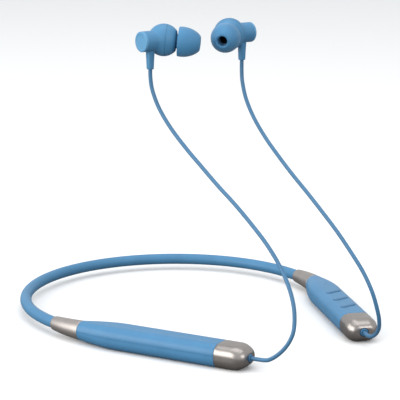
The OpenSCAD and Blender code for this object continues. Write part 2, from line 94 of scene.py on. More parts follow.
def makeCord(side):
    turn = sides[side]
    route = [Vector((turn * x, y, z)) * mm for x, y, z in cordRoute]
    data = bpy.data.curves.new(side + "Cord", "CURVE")
    data.dimensions = "3D"
    data.resolution_u = 10
    data.bevel_depth = cord["diameter"] * mm / 2
    data.bevel_resolution = 7
    data.use_fill_caps = True
    line = data.splines.new("BEZIER")
    line.bezier_points.add(len(route) - 1)
    for i, knot in enumerate(line.bezier_points):
        lean = (route[min(i + 1, len(route) - 1)] - route[max(i - 1, 0)]) / 6
        knot.handle_left_type = knot.handle_right_type = "FREE"
        knot.co = route[i]
        knot.handle_left = route[i] - lean
        knot.handle_right = route[i] + lean
    obj = bpy.data.objects.new(side + "CordSheath", data)
    bpy.context.collection.objects.link(obj)
    obj.data.materials.append(cordRubber())
    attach(obj, mainBody)
    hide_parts(side + "_cord")


# Materials: each has its own grain, colour drift and polish, on Object coordinates or the piece's own UV

finishes = {}


def shader(name, color, roughness, metallic=0, specular=0.5, coat=0, sheen=0, scatter=0):
    mat = bpy.data.materials.new(name)
    mat.use_nodes = True
    tree = mat.node_tree
    face = tree.nodes["Principled BSDF"]
    face.inputs["Base Color"].default_value = (*color, 1)
    face.inputs["Roughness"].default_value = roughness
    face.inputs["Metallic"].default_value = metallic
    face.inputs["Specular IOR Level"].default_value = specular
    face.inputs["Coat Weight"].default_value = coat
    face.inputs["Coat Roughness"].default_value = 0.35
    face.inputs["Sheen Weight"].default_value = sheen
    face.inputs["Sheen Roughness"].default_value = 0.4
    if scatter:
        face.inputs["Subsurface Weight"].default_value = scatter
        face.inputs["Subsurface Scale"].default_value = 1.2 * mm
        face.inputs["Subsurface Radius"].default_value = (0.4, 0.7, 1.0)
    return mat, tree, face


def place(tree, source="Object", stretch=(1, 1, 1)):
    coords = tree.nodes.new("ShaderNodeTexCoord")
    mapping = tree.nodes.new("ShaderNodeMapping")
    mapping.inputs["Scale"].default_value = stretch
    tree.links.new(coords.outputs[source], mapping.inputs["Vector"])
    return mapping.outputs["Vector"]


def noise(tree, vector, scale, detail=4, rough=0.55):
    node = tree.nodes.new("ShaderNodeTexNoise")
    node.inputs["Scale"].default_value = scale
    node.inputs["Detail"].default_value = detail
    node.inputs["Roughness"].default_value = rough
    tree.links.new(vector, node.inputs["Vector"])
    return node.outputs["Fac"]


def spread(tree, value, low, high, target):
    node = tree.nodes.new("ShaderNodeMapRange")
    node.inputs["From Min"].default_value = 0.3
    node.inputs["From Max"].default_value = 0.7
    node.inputs["To Min"].default_value = low
    node.inputs["To Max"].default_value = high
    tree.links.new(value, node.inputs["Value"])
    tree.links.new(node.outputs["Result"], target)


def tint(tree, value, dark, light, target):
    ramp = tree.nodes.new("ShaderNodeValToRGB")
    ramp.color_ramp.elements[0].position = 0.3
    ramp.color_ramp.elements[0].color = (*dark, 1)
    ramp.color_ramp.elements[1].position = 0.7
    ramp.color_ramp.elements[1].color = (*light, 1)
    tree.links.new(value, ramp.inputs["Fac"])
    tree.links.new(ramp.outputs["Color"], target)


def bump(tree, face, layers):
    normal = None
    for height, strength, depth in layers:
        node = tree.nodes.new("ShaderNodeBump")
        node.inputs["Strength"].default_value = strength
        node.inputs["Distance"].default_value = depth * mm
        tree.links.new(height, node.inputs["Height"])
        if normal:
            tree.links.new(normal, node.inputs["Normal"])
        normal = node.outputs["Normal"]
    tree.links.new(normal, face.inputs["Normal"])


def shade(color, share):
    return tuple(min(1, c * share) for c in color)


# A moulded or rubbery surface with a fine grain and a slow drift of colour
def grained(name, color, roughness, grain=2600, strength=0.25, drift=0.05, **look):
    if name in finishes:
        return finishes[name]
    mat, tree, face = shader(name, color, roughness, **look)
    coords = place(tree)
    slow = noise(tree, coords, 90, 3)
    fine = noise(tree, coords, grain, 3, 0.65)
    scuff = noise(tree, coords, 420, 6, 0.7)
    tint(tree, slow, shade(color, 1 - drift), shade(color, 1 + drift), face.inputs["Base Color"])
    spread(tree, scuff, roughness - 0.05, roughness + 0.06, face.inputs["Roughness"])
    bump(tree, face, [(fine, strength, 0.03), (scuff, strength * 0.4, 0.05)])
    finishes[name] = mat
    return mat


# button: the keys' blue darkened below the pod's, painted shade for the dark shadow lines along the keys'
# edges
colors = {
    "band": (0.064, 0.212, 0.385), "pod": (0.066, 0.220, 0.405), "cord": (0.050, 0.172, 0.322),
    "ear": (0.064, 0.232, 0.425), "cap": (0.110, 0.315, 0.530), "tip": (0.060, 0.222, 0.412),
    "button": (0.044, 0.158, 0.300), "metal": (0.385, 0.352, 0.332), "steel": (0.560, 0.560, 0.570),
    "collar": (0.440, 0.405, 0.385),
}


def bandSilicone():
    return grained("bandSilicone", colors["band"], 0.46, 2200, 0.22, sheen=0.05, specular=0.36)


def podCoat():
    return grained("podSoftCoat", colors["pod"], 0.38, 3200, 0.32, coat=0.03, specular=0.38)


def cordRubber():
    return grained("cordJacket", colors["cord"], 0.44, 3000, 0.2, sheen=0.1)


def earRubber():
    return grained("earSoftCoat", colors["ear"], 0.46, 2100, 0.55, 0.08, specular=0.5)


def earCapRubber():
    return grained("earCapSoftCoat", colors["cap"], 0.46, 2800, 0.3, specular=0.45)


def tipSilicone():
    return grained("tipSilicone", colors["tip"], 0.55, 1800, 0.3, 0.06, sheen=0.2, specular=0.4,
                   scatter=0.12)


# The keys' silicone blue, darkened as painted shade for the shadow lines at the keys' edges
def buttonSiliconeWithPaintedShade():
    return grained("buttonSiliconeWithPaintedShade", colors["button"], 0.42, 2600, 0.25, specular=0.5)


# Metal with fine lines along one direction, faint stains and uneven polish
def brushed(name, color, roughness, stretch, source="UV", strength=0.35):
    if name in finishes:
        return finishes[name]
    mat, tree, face = shader(name, color, roughness, metallic=1)
    lines = noise(tree, place(tree, source, stretch), 1, 6, 0.7)
    coords = place(tree)
    stain = noise(tree, coords, 160, 4)
    speck = noise(tree, coords, 5200, 2)
    tint(tree, stain, shade(color, 0.93), shade(color, 1.06), face.inputs["Base Color"])
    spread(tree, lines, roughness - 0.06, roughness + 0.07, face.inputs["Roughness"])
    bump(tree, face, [(lines, strength, 0.02), (speck, strength * 0.5, 0.01)])
    finishes[name] = mat
    return mat


def collarMetal():
    return brushed("collarSatin", colors["collar"], 0.45, (3, 260, 1), strength=0.5)


def capMetal():
    return brushed("capSatin", colors["metal"], 0.32, (2600, 2600, 2600), "Object", 0.15)


def plainSteel():
    return brushed("tinnedSteel", colors["steel"], 0.35, (500, 2600, 2600), "Object")


def darkSteel():
    return brushed("blackSteel", (0.05, 0.05, 0.055), 0.38, (2600, 500, 2600), "Object")


def plated():
    return brushed("platedContact", (0.80, 0.56, 0.20), 0.28, (2600, 2600, 600), "Object")


def boardMask():
    return grained("solderMask", (0.015, 0.12, 0.05), 0.35, 900, 0.15, 0.2)


def cellFoil():
    return grained("foilPouch", (0.52, 0.53, 0.55), 0.32, 500, 0.5, metallic=0.6)


def leadJacket():
    return grained("leadJacket", (0.02, 0.02, 0.022), 0.5)


def lightPipe():
    return grained("lightPipe", (0.75, 0.80, 0.85), 0.25, 1500, 0.1, coat=0.3)


def driverFilm():
    return grained("driverFilm", (0.06, 0.06, 0.065), 0.3, 1200, 0.3)


def meshWire():
    return brushed("meshWire", (0.030, 0.030, 0.034), 0.42, (2600, 2600, 2600), "Object")


# Shared mesh work

creaseAngle = 38  # degrees, above which an edge shows as a crease
weldGap = 0.002  # points closer than this are one
surfacePerUv = 10  # millimetres of surface to one step of a piece's own V

# A mesh from millimetres on the left side, mirrored for the right
def smoothObject(name, verts, faces, side, mat, edge=creaseAngle, uvs=None):
    verts = np.array(verts, float).reshape(-1, 3) * mm
    verts[:, 0] *= sides.get(side, 1)
    mesh = bpy.data.meshes.new(name)
    mesh.from_pydata([tuple(v) for v in verts], [], faces)
    if uvs is not None:
        layer = mesh.uv_layers.new(name="UVMap")
        flat = [uvs[f][k] for f, poly in enumerate(faces) for k in range(len(poly))]
        layer.data.foreach_set("uv", np.array(flat, float).ravel())
    bm = bmesh.new()
    bm.from_mesh(mesh)
    bmesh.ops.remove_doubles(bm, verts=bm.verts, dist=weldGap * mm)
    bmesh.ops.dissolve_degenerate(bm, edges=bm.edges, dist=weldGap * mm / 2)
    bmesh.ops.recalc_face_normals(bm, faces=bm.faces)
    bm.to_mesh(mesh)
    bm.free()
    mesh.shade_smooth()
    mesh.set_sharp_from_angle(angle=math.radians(edge))
    mesh.materials.append(mat)
    obj = bpy.data.objects.new(name, mesh)
    bpy.context.collection.objects.link(obj)
    return obj


# Faces and UVs over rows of points; the ends are open, flat caps, or a wall's two edges
def grid(points, wrapRows, wrapCols, ends="open"):
    rows, cols = len(points), len(points[0])
    verts = [p for row in points for p in row]
    faces, uvs = [], []
    steps = [0.0]
    for i in range(rows):
        gap = np.linalg.norm(np.array(points[(i + 1) % rows][0]) - np.array(points[i][0]))
        steps.append(steps[-1] + gap / surfacePerUv)
    for i in range(rows if wrapRows else rows - 1):
        for k in range(cols if wrapCols else cols - 1):
            j, m = (i + 1) % rows, (k + 1) % cols
            faces.append((i * cols + k, i * cols + m, j * cols + m, j * cols + k))
            u, w = k / cols, (k + 1) / cols
            uvs.append([(u, steps[i]), (w, steps[i]), (w, steps[i + 1]), (u, steps[i + 1])])
    for i in (0, rows - 1) if ends != "open" else ():
        first = i * cols
        if ends == "flat":
            faces.append(tuple(first + k for k in range(cols)))
            uvs.append([(0.5, steps[i])] * cols)
        else:  # the outer half of a row faces its inner half, which runs back
            for k in range(cols // 2 - 1):
                faces.append((first + k, first + k + 1, first + cols - 2 - k, first + cols - 1 - k))
                uvs.append([(0.5, steps[i])] * 4)
    return verts, faces, uvs


# A path through corners (x, y, radius), with an arc at each corner that has a radius
def rounded(corners, steps=5):
    out = []
    for i, (x, y, r) in enumerate(corners):
        here = Vector((x, y))
        if r == 0 or i in (0, len(corners) - 1):
            out.append((x, y))
            continue
        back = Vector(corners[i - 1][:2]) - here
        on = Vector(corners[i + 1][:2]) - here
        half = back.angle(on) / 2
        reach = min(r / math.tan(half), 0.49 * back.length, 0.49 * on.length)
        r = reach * math.tan(half)
        a, b = here + back.normalized() * reach, here + on.normalized() * reach
        middle = here + (back.normalized() + on.normalized()).normalized() * (r / math.sin(half))
        for s in range(steps + 1):
            p = a.lerp(b, s / steps) - middle
            p = middle + p.normalized() * r
            out.append((p.x, p.y))
    return out


# Turns a path of (radius, height) round the Z axis of a place
def lathe(name, path, place, side, mat, closed=True, segments=96, edge=creaseAngle):
    rows = []
    for s in range(segments):
        a = 2 * math.pi * s / segments
        rows.append([place @ Vector((r * math.cos(a), r * math.sin(a), h)) for r, h in path])
    cols = [[rows[s][k] for s in range(segments)] for k in range(len(path))]
    verts, faces, uvs = grid(cols, closed, True)
    return smoothObject(name, verts, faces, side, mat, edge, uvs)


# Takes closed shapes out of a piece and gives back a plain mesh
def cut(obj, cutters):
    for tool in cutters:
        step = obj.modifiers.new("cut", "BOOLEAN")
        step.object = tool
        step.operation = "DIFFERENCE"
        step.solver = "EXACT"
    return baked(obj, cutters)


def baked(obj, spare=()):
    bpy.context.view_layer.update()
    graph = bpy.context.evaluated_depsgraph_get()
    mesh = bpy.data.meshes.new_from_object(obj.evaluated_get(graph))
    obj.modifiers.clear()
    obj.data = mesh
    for tool in spare:
        bpy.data.objects.remove(tool)
    mesh.shade_smooth()
    mesh.set_sharp_from_angle(angle=math.radians(creaseAngle))
    return obj


def finishPiece(obj, nodes, body=mainBody):
    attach(obj, body)
    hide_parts(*nodes)
    return obj


# Places on the object

band = {"neckRadius": 64.5, "diameter": 5.0, "turn": 94.4, "hold": 2.0}
collar = {"turn": 13.9, "backDiameter": 6.2, "frontDiameter": 8.4, "slip": 0.05}
pod = {"length": 66.0, "width": 14.0, "height": 9.8, "corner": 4.2, "shoulder": 20.0, "toeIn": 24.8,
       "wall": 1.1, "parting": 0.6, "seam": 0.045}
endCap = {"length": 13.2, "nose": 6.0, "inset": 3.6, "holeDiameter": 4.0, "holeSpan": (73.5, 82)}

bandRadius = band["neckRadius"] + band["diameter"] / 2
jointTurn = band["turn"] + collar["turn"]


# X is outwards from the band's centre line, Y runs back along it
def arcPlace(turn):
    around = Matrix.Rotation(math.radians(90 - turn), 4, "Z")
    middle = Matrix.Translation((0, -band["neckRadius"], 0))
    return middle @ around @ Matrix.Translation((bandRadius, 0, 0))


joint = arcPlace(jointTurn).translation
podPlace = Matrix.Translation(joint) @ Matrix.Rotation(math.radians(-90 - pod["toeIn"]), 4, "Z")


# X runs along the pod from its collar, Y outwards, Z up
def onPod(x, y=0, z=0):
    return podPlace @ Matrix.Translation((x, y, z))


earPlace = Matrix.Translation((17.5, -80, 118.5))
nozzle = {"turn": 41.0, "drop": 5.0, "radius": 2.5, "foot": 3.0, "footEnd": 6.2, "lip": 2.8,
          "lipStart": 9.2, "lipEnd": 10.0, "end": 11.0, "bore": 2.0, "boreDepth": 1.4}
nozzlePlace = (earPlace @ Matrix.Rotation(math.radians(180 + nozzle["turn"]), 4, "Z")
               @ Matrix.Rotation(math.radians(90 + nozzle["drop"]), 4, "Y"))
barrelPlace = earPlace @ Matrix.Rotation(math.radians(90), 4, "Y")


# Neckband sleeve: a tube along an arc, made with Geometry Nodes

def newTree(name, sizes):
    tree = bpy.data.node_groups.new(name, "GeometryNodeTree")
    for label, kind, value in sizes:
        socket = tree.interface.new_socket(label, in_out="INPUT", socket_type=kind)
        if value is not None:
            socket.default_value = value
    tree.interface.new_socket("Geometry", in_out="OUTPUT", socket_type="NodeSocketGeometry")
    return tree, tree.nodes.new("NodeGroupInput"), tree.nodes.new("NodeGroupOutput")


def finishTree(tree, source, entry, outlet):
    smooth = tree.nodes.new("GeometryNodeSetShadeSmooth")
    real = tree.nodes.new("GeometryNodeRealizeInstances")
    paint = tree.nodes.new("GeometryNodeSetMaterial")
    tree.links.new(source, smooth.inputs["Geometry"])
    tree.links.new(smooth.outputs["Geometry"], real.inputs["Geometry"])
    tree.links.new(real.outputs["Geometry"], paint.inputs["Geometry"])
    tree.links.new(entry.outputs["Material"], paint.inputs["Material"])
    tree.links.new(paint.outputs["Geometry"], outlet.inputs["Geometry"])


# An object whose mesh comes from a tree, with its inputs set by the sockets' identifiers
def grow(name, tree, values):
    obj = bpy.data.objects.new(name, bpy.data.meshes.new(name))
    bpy.context.collection.objects.link(obj)
    step = obj.modifiers.new("grow", "NODES")
    step.node_group = tree
    for item in tree.interface.items_tree:
        if item.in_out == "INPUT" and item.name in values:
            step[item.identifier] = values[item.name]
    return baked(obj)


def sleeveTree():
    tree, entry, outlet = newTree("sleeve", [
        ("Radius", "NodeSocketFloat", 0.067), ("Thickness", "NodeSocketFloat", 0.0025),
        ("Turn", "NodeSocketFloat", 1.6), ("Back", "NodeSocketFloat", 0.0645),
        ("Steps", "NodeSocketInt", 240), ("Material", "NodeSocketMaterial", None)])
    link = tree.links.new
    arc = tree.nodes.new("GeometryNodeCurveArc")
    start = tree.nodes.new("ShaderNodeMath")
    start.operation = "SUBTRACT"
    start.inputs[0].default_value = math.pi / 2
    whole = tree.nodes.new("ShaderNodeMath")
    whole.operation = "MULTIPLY"
    whole.inputs[1].default_value = 2
    ring = tree.nodes.new("GeometryNodeCurvePrimitiveCircle")
    ring.inputs["Resolution"].default_value = 48
    sweep = tree.nodes.new("GeometryNodeCurveToMesh")
    sweep.inputs["Fill Caps"].default_value = True
    shift = tree.nodes.new("GeometryNodeTransform")
    back = tree.nodes.new("ShaderNodeCombineXYZ")
    away = tree.nodes.new("ShaderNodeMath")
    away.operation = "MULTIPLY"
    away.inputs[1].default_value = -1
    link(entry.outputs["Radius"], arc.inputs["Radius"])
    link(entry.outputs["Steps"], arc.inputs["Resolution"])
    link(entry.outputs["Turn"], start.inputs[1])
    link(start.outputs[0], arc.inputs["Start Angle"])
    link(entry.outputs["Turn"], whole.inputs[0])
    link(whole.outputs[0], arc.inputs["Sweep Angle"])
    link(entry.outputs["Thickness"], ring.inputs["Radius"])
    link(arc.outputs["Curve"], sweep.inputs["Curve"])
    link(ring.outputs["Curve"], sweep.inputs["Profile Curve"])
    link(sweep.outputs["Mesh"], shift.inputs["Geometry"])
    link(entry.outputs["Back"], away.inputs[0])
    link(away.outputs[0], back.inputs["Y"])
    link(back.outputs["Vector"], shift.inputs["Translation"])
    finishTree(tree, shift.outputs["Geometry"], entry, outlet)
    return tree


def makeSleeve():
    sleeve = grow("neckbandSleeve", sleeveTree(), {
        "Radius": bandRadius * mm, "Thickness": band["diameter"] * mm / 2,
        "Turn": math.radians(band["turn"] + band["hold"]), "Back": band["neckRadius"] * mm,
        "Steps": 260, "Material": bandSilicone()})
    finishPiece(sleeve, ["band_sleeve"])


# Collars: tapered metal sleeves that follow the arc, with a rolled lip at the back

def makeCollar(side):
    back, front = collar["backDiameter"] / 2, collar["frontDiameter"] / 2
    inner = band["diameter"] / 2 + collar["slip"]
    degree = bandRadius * math.pi / 180
    rows = [(1.6, inner), (0.25, inner), (0.05, inner + 0.1)]
    rows += [(0.0, back - 0.34), (0.05, back - 0.2), (0.16, back - 0.08), (0.34, back - 0.01)]
    length = collar["turn"] * degree
    for i in range(1, 25):
        share = i / 25
        swell = share + 0.06 * math.sin(math.pi * share)
        rows.append((0.34 + (length - 0.5) * share, back + (front - back) * swell))
    rows += [(length - 0.1, front - 0.01), (length - 0.03, front - 0.05), (length, front - 0.16),
             (length, 1.0)]
    points = []
    for along, r in rows:
        where = arcPlace(band["turn"] + along / degree)
        points.append([where @ Vector((r * math.cos(a), 0, r * math.sin(a)))
                       for a in np.linspace(0, 2 * math.pi, 72, endpoint=False)])
    verts, faces, uvs = grid(points, False, True)
    obj = smoothObject(side + "CollarSleeve", verts, faces, side, collarMetal(), 50, uvs)
    finishPiece(obj, [side + "_collar"])


# Pods: two shells that meet at a hairline seam

# Half of a rounded rectangle above or below the parting line, as a wall of one thickness
def halfOutline(w, h, r, wall, up):
    seam, split = pod["seam"], pod["parting"] if up else -pod["parting"]
    paths = []
    for inset in (0, wall):
        ww, hh, rr = w / 2 - inset, h / 2 - inset, max(0.3, r - inset)
        low = split + (seam if inset == 0 else 0.02)
        start = math.asin(max(-1, min(1, (low - (hh - rr)) / rr))) if low > hh - rr else 0
        arc = [(ww - rr + rr * math.cos(a), hh - rr + rr * math.sin(a))
               for a in np.linspace(start, math.pi / 2, 25)]
        side = [(arc[0][0], low + (arc[0][1] - low) * s) for s in (0, 0.34, 0.67)]
        if inset == 0:
            side = [(arc[0][0] - 0.45, split + 0.01), (arc[0][0] - seam, split + 0.015)] + side
        else:
            side = [(arc[0][0] - 0.001 * s, low) for s in (2, 1)] + side
        flat = [((ww - rr) * s, hh) for s in (0.8, 0.6, 0.4, 0.2)]
        half = side + arc + flat
        paths.append(half + [(0, hh)] + [(-y, z) for y, z in reversed(half)])
    outline = paths[0] + paths[1][::-1]
    return outline if up else [(y, -z) for y, z in outline]


# Places along a pod: how far, width, height, how much it still leans with the band, and the edge's pull
def podRows():
    end, first = pod["length"], collar["frontDiameter"]
    along = [(0.02, 0.16), (0.12, 0.04)]  # with how far the rounded edge pulls in
    along += [(x, 0) for x in (0.3, *range(1, 21), 24, 28, 34, 40, 46, 52, 58, 62, end - 0.3)]
    along += [(end - 0.12, 0.03), (end - 0.03, 0.1)]
    rows = []
    for x, pull in along:
        share = min(1, x / pod["shoulder"])
        swell = math.sin(share * math.pi / 2) ** 1.05
        w = first + (pod["width"] - first) * swell - 2 * pull
        h = first + (pod["height"] - first) * swell - 2 * pull
        lean = (jointTurn - 90 - pod["toeIn"]) * (1 - min(1, x / 8)) ** 2
        rows.append((x, w, h, lean, pull))
    return rows


def makeShell(side, up):
    points = []
    for x, w, h, lean, pull in podRows():
        where = onPod(x) @ Matrix.Rotation(math.radians(-lean), 4, "Z")
        points.append([where @ Vector((0, y, z))
                       for y, z in halfOutline(w, h, pod["corner"] - pull, pod["wall"], up)])
    verts, faces, uvs = grid(points, False, True, "wall")
    name = side + ("Upper" if up else "Lower") + "Shell"
    return smoothObject(name, verts, faces, side, podCoat(), 40, uvs)


def prism(outline, low, high, place, side, mat):
    rows = [[place @ Vector((x, y, z)) for x, y in outline] for z in (low, high)]
    verts, faces, uvs = grid(rows, False, True, "flat")
    return smoothObject("cutter", verts, faces, side, mat, 38, uvs)


# A bar's outline with round ends, its long way along Y
def stadium(length, width, steps=20):
    r, reach = width / 2, (length - width) / 2
    ends = [(r * math.cos(a), reach + r * math.sin(a)) for a in np.linspace(0, math.pi, steps)]
    return ends + [(-x, -y) for x, y in ends]


def circle(r, steps=40):
    return [(r * math.cos(a), r * math.sin(a)) for a in np.linspace(0, 2 * math.pi, steps, endpoint=False)]


buttons = {"start": 32.0, "pitch": 11.5, "length": 7.6, "width": 1.9, "slant": 28.0, "proud": 0.35,
           "gap": 0.3, "skirt": 0.8, "skirtTop": 3.7, "pocketTop": 3.79, "stemRadius": 1.0, "stemEnd": 1.3,
           "bodies": ("volume_up", "play", "volume_down")}
details = {"lightAt": 18.0, "lightPocket": 0.78, "lightRoof": 4.65, "lightHole": 0.3,
           "portAt": 24.0, "portWidth": 8.94, "portHeight": 3.26, "portMouth": 5.2, "portDepth": 6.2,
           "portPast": 4.0, "portZ": -2.03, "portSlack": 0.2, "micAt": 54.0, "micHole": 0.5,
           "screwsAt": (12.5, 62.0), "screwHole": 1.3}
cutter = {"above": 7.0, "upperInside": 1.5, "lowerInside": -2.5, "below": -7.0}  # heights of the cuts


def buttonPlace(i):
    along = buttons["start"] + i * buttons["pitch"]
    return onPod(along) @ Matrix.Rotation(math.radians(buttons["slant"]), 4, "Z")


# Cuts straight down through the lower shell's floor
def floorHole(radius, x, side, steps=40):
    return prism(circle(radius, steps), cutter["below"], cutter["lowerInside"], onPod(x), side, podCoat())


def makePods():
    coat = podCoat()
    inside, above = cutter["upperInside"], cutter["above"]
    slots = []
    for i in range(3):
        for grow, high in ((buttons["gap"], above),
                           (buttons["gap"] + buttons["skirt"], buttons["pocketTop"])):
            outline = stadium(buttons["length"] + 2 * grow, buttons["width"] + 2 * grow)
            slots.append(prism(outline, inside, high, buttonPlace(i), "left", coat))
    light = onPod(details["lightAt"])
    pocket = prism(circle(details["lightPocket"]), inside, details["lightRoof"], light, "left", coat)
    hole = prism(circle(details["lightHole"]), pod["height"] / 2 - pod["wall"], above, light, "left", coat)
    upper = cut(makeShell("left", True), slots + [pocket, hole])
    finishPiece(upper, ["left_upper_shell"])
    finishPiece(makeShell("right", True), ["right_upper_shell"])
    for side in sides:
        tools = [floorHole(details["screwHole"], x, side) for x in details["screwsAt"]]
        if side == "left":
            outwards = Matrix.Rotation(math.radians(-90), 4, "X")
            port = onPod(details["portAt"], details["portMouth"], details["portZ"]) @ outwards
            slack = details["portSlack"]
            outline = stadium(details["portWidth"] + slack, details["portHeight"] + slack)
            mouth = [(y, x) for x, y in outline]
            tools.append(prism(mouth, -details["portDepth"], details["portPast"], port, side, coat))
            tools.append(floorHole(details["micHole"], details["micAt"], side, 24))
        lower = cut(makeShell(side, False), tools)
        finishPiece(lower, [side + "_lower_shell"])


# A silicone bar with soft shoulders and a slightly crowned top; its skirt closes the gap from below
def makeButton(i):
    def bar(grow):
        return stadium(buttons["length"] + 2 * grow, buttons["width"] + 2 * grow, 24)

    top = pod["height"] / 2 + buttons["proud"]
    skirtTop, skirtFoot = buttons["skirtTop"], buttons["skirtTop"] - buttons["skirt"]
    stem = stadium(2 * buttons["stemRadius"], 2 * buttons["stemRadius"], 24)
    levels = [(stem, buttons["stemEnd"]), (stem, skirtFoot), (bar(buttons["skirt"]), skirtFoot),
              (bar(buttons["skirt"]), skirtTop), (bar(0), skirtTop), (bar(0), top - 0.42)]
    levels += [(bar(-inset), top - drop) for inset, drop in
               ((0.02, 0.3), (0.07, 0.19), (0.16, 0.1), (0.3, 0.04), (0.55, 0.01), (0.85, 0))]
    rows = [[buttonPlace(i) @ Vector((x, y, z)) for x, y in outline] for outline, z in levels]
    verts, faces, uvs = grid(rows, False, True, "flat")
    name = buttons["bodies"][i]
    obj = smoothObject(name.replace("_", "") + "Key", verts, faces, "left", buttonSiliconeWithPaintedShade(), 50, uvs)
    finishPiece(obj, [name + "_button"], name + "_key")


# End caps and grommets

def boxOutline(w, h, r, steps=18):
    r = min(r, w / 2 - 0.02, h / 2 - 0.02)
    out = []
    for sy, sz, first in ((1, 1, 0), (-1, 1, 90), (-1, -1, 180), (1, -1, 270)):
        for a in np.linspace(first, first + 90, steps + 1):
            out.append((sy * (w / 2 - r) + r * math.cos(math.radians(a)),
                        sz * (h / 2 - r) + r * math.sin(math.radians(a))))
    return out


def makeCap(side):
    start = pod["length"]
    flatEnd = start + endCap["length"] - endCap["nose"]
    rows = [(start + 0.02, 1.0), (start + 0.03, 0.14), (start + 0.08, 0.05), (start + 0.2, 0.0)]
    rows += [(x, 0.0) for x in np.linspace(start + 1, flatEnd - 0.2, 8)]
    for a in np.linspace(0, 90, 26):
        rows.append((flatEnd + endCap["nose"] * math.sin(math.radians(a)),
                     endCap["inset"] * (1 - math.cos(math.radians(a)))))
    points = [[podPlace @ Vector((x, y, z))
               for y, z in boxOutline(pod["width"] - 2 * pull, pod["height"] - 2 * pull, pod["corner"])]
              for x, pull in rows]
    verts, faces, uvs = grid(points, False, True, "flat")
    cap = smoothObject(side + "PodCap", verts, faces, side, capMetal(), 38, uvs)
    along = podPlace @ Matrix.Rotation(math.radians(90), 4, "Y")
    hole = prism(circle(endCap["holeDiameter"] / 2, 64), *endCap["holeSpan"], along, side, capMetal())
    finishPiece(cut(cap, [hole]), [side + "_end_cap"])


grommet = {"diameter": 3.4, "flange": 4.0, "proud": 0.4, "back": -4.8, "seat": -1.1}


def makeGrommet(side):
    r, bore, flange = grommet["diameter"] / 2, cord["diameter"] / 2, grommet["flange"] / 2
    back, seat, proud = grommet["back"], grommet["seat"], grommet["proud"]
    path = rounded([(bore, back, 0), (flange, back, 0), (flange, seat, 0.1), (r, seat, 0.08),
                    (r, proud, 0.32), (bore + 0.12, proud, 0.1), (bore + 0.02, 0.1, 0)])
    where = onPod(pod["length"] + endCap["length"]) @ Matrix.Rotation(math.radians(90), 4, "Y")
    obj = lathe(side + "CordGrommet", path, where, side, cordRubber(), True, 72)
    finishPiece(obj, [side + "_grommet"])


# Earpieces

ear = {"barrel": 8.7, "length": 11.8, "bulb": 6.9, "split": 1.2, "front": 5.4, "fillet": 1.5,
       "capThick": 1.2, "dish": 3.35}


# Back rim, barrel, a soft fillet into the round housing, and the sphere on past its middle
def barrelPath():
    r, bulb, fillet = ear["barrel"] / 2, ear["bulb"], ear["fillet"]
    reach = math.sqrt((bulb + fillet) ** 2 - (r + fillet) ** 2)
    back = ear["length"] - ear["capThick"]
    path = [(r - 0.9, back - 0.02), (r - 0.1, back - 0.02), (r, back - 0.12)]
    path += [(r, z) for z in np.linspace(back - 0.8, reach + 0.3, 7)]
    foot = math.atan2(r + fillet, reach)
    for a in np.linspace(-math.pi / 2, -math.pi / 2 - foot, 10):
        path.append((r + fillet + fillet * math.sin(a), reach + fillet * math.cos(a)))
    for a in np.linspace(foot, math.pi, 60):
        path.append((bulb * math.sin(a), bulb * math.cos(a)))
    return path


def makeBarrel(side):
    body = lathe(side + "EarBarrel", barrelPath(), barrelPlace, "left", earRubber(), False, 128)
    bm = bmesh.new()
    bm.from_mesh(body.data)
    out = (nozzlePlace.to_3x3() @ Vector((0, 0, 1))).normalized()
    at = nozzlePlace @ Vector((0, 0, ear["split"] - 0.03)) * mm
    bmesh.ops.bisect_plane(bm, geom=bm.verts[:] + bm.edges[:] + bm.faces[:], plane_co=at, plane_no=out,
                           clear_outer=True, dist=1e-7)
    if side == "right":
        for v in bm.verts:
            v.co.x = -v.co.x
        bmesh.ops.reverse_faces(bm, faces=bm.faces)
    bm.to_mesh(body.data)
    bm.free()
    body.data.shade_smooth()
    body.data.set_sharp_from_angle(angle=math.radians(38))
    finishPiece(body, [side + "_barrel"])


def makeBackCap(side):
    r, top = ear["barrel"] / 2, ear["length"]
    path = rounded([(0, top - 0.14, 0), (ear["dish"] - 0.2, top - 0.14, 0.1), (ear["dish"], top, 0.12),
                    (r, top, 0.32), (r, top - ear["capThick"] + 0.04, 0.06),
                    (r - 0.12, top - ear["capThick"], 0), (r - 1.0, top - ear["capThick"], 0),
                    (r - 1.0, top - 2.1, 0), (0, top - 2.1, 0)])
    obj = lathe(side + "EarBackCap", path, barrelPlace, side, earCapRubber(), False, 96)
    finishPiece(obj, [side + "_back_cap"])


# The front of the round housing, its flat face, the neck, and the lip that holds the tip
def makeNozzle(side):
    bulb, split, front = ear["bulb"], ear["split"], ear["front"]
    first = math.acos((split + 0.03) / bulb)
    last = math.acos(front / bulb)
    path = [(bulb - 1.0, split + 0.05), (bulb * math.sin(first) - 0.08, split + 0.02)]
    path += [(bulb * math.sin(a), bulb * math.cos(a)) for a in np.linspace(first - 0.012, last + 0.10, 26)]
    r, foot, footEnd, lip = (nozzle[k] for k in ("radius", "foot", "footEnd", "lip"))
    lipStart, lipEnd, end, bore = (nozzle[k] for k in ("lipStart", "lipEnd", "end", "bore"))
    rim = rounded([(path[-1][0], path[-1][1], 0), (bulb * math.sin(last), front, 0.55),
                   (foot + 0.1, front, 0.25), (foot, footEnd, 0.15), (r, footEnd + 0.05, 0.1),
                   (r, lipStart, 0.1), (lip, lipStart + 0.05, 0.12), (lip, lipEnd, 0.15),
                   (r, lipEnd + 0.1, 0.1), (r, end, 0.12), (bore + 0.02, end, 0.08),
                   (bore, end - nozzle["boreDepth"], 0)])
    obj = lathe(side + "NozzleHousing", path + rim[1:], nozzlePlace, side, earRubber(), False, 112)
    finishPiece(obj, [side + "_nozzle_housing"])


tip = {"diameter": 12.8, "length": 9.4, "start": 6.2, "hole": 4.3, "wall": 0.8, "brim": 1.6, "bore": 2.95,
       "stem": 3.65, "bluntness": 1.5}


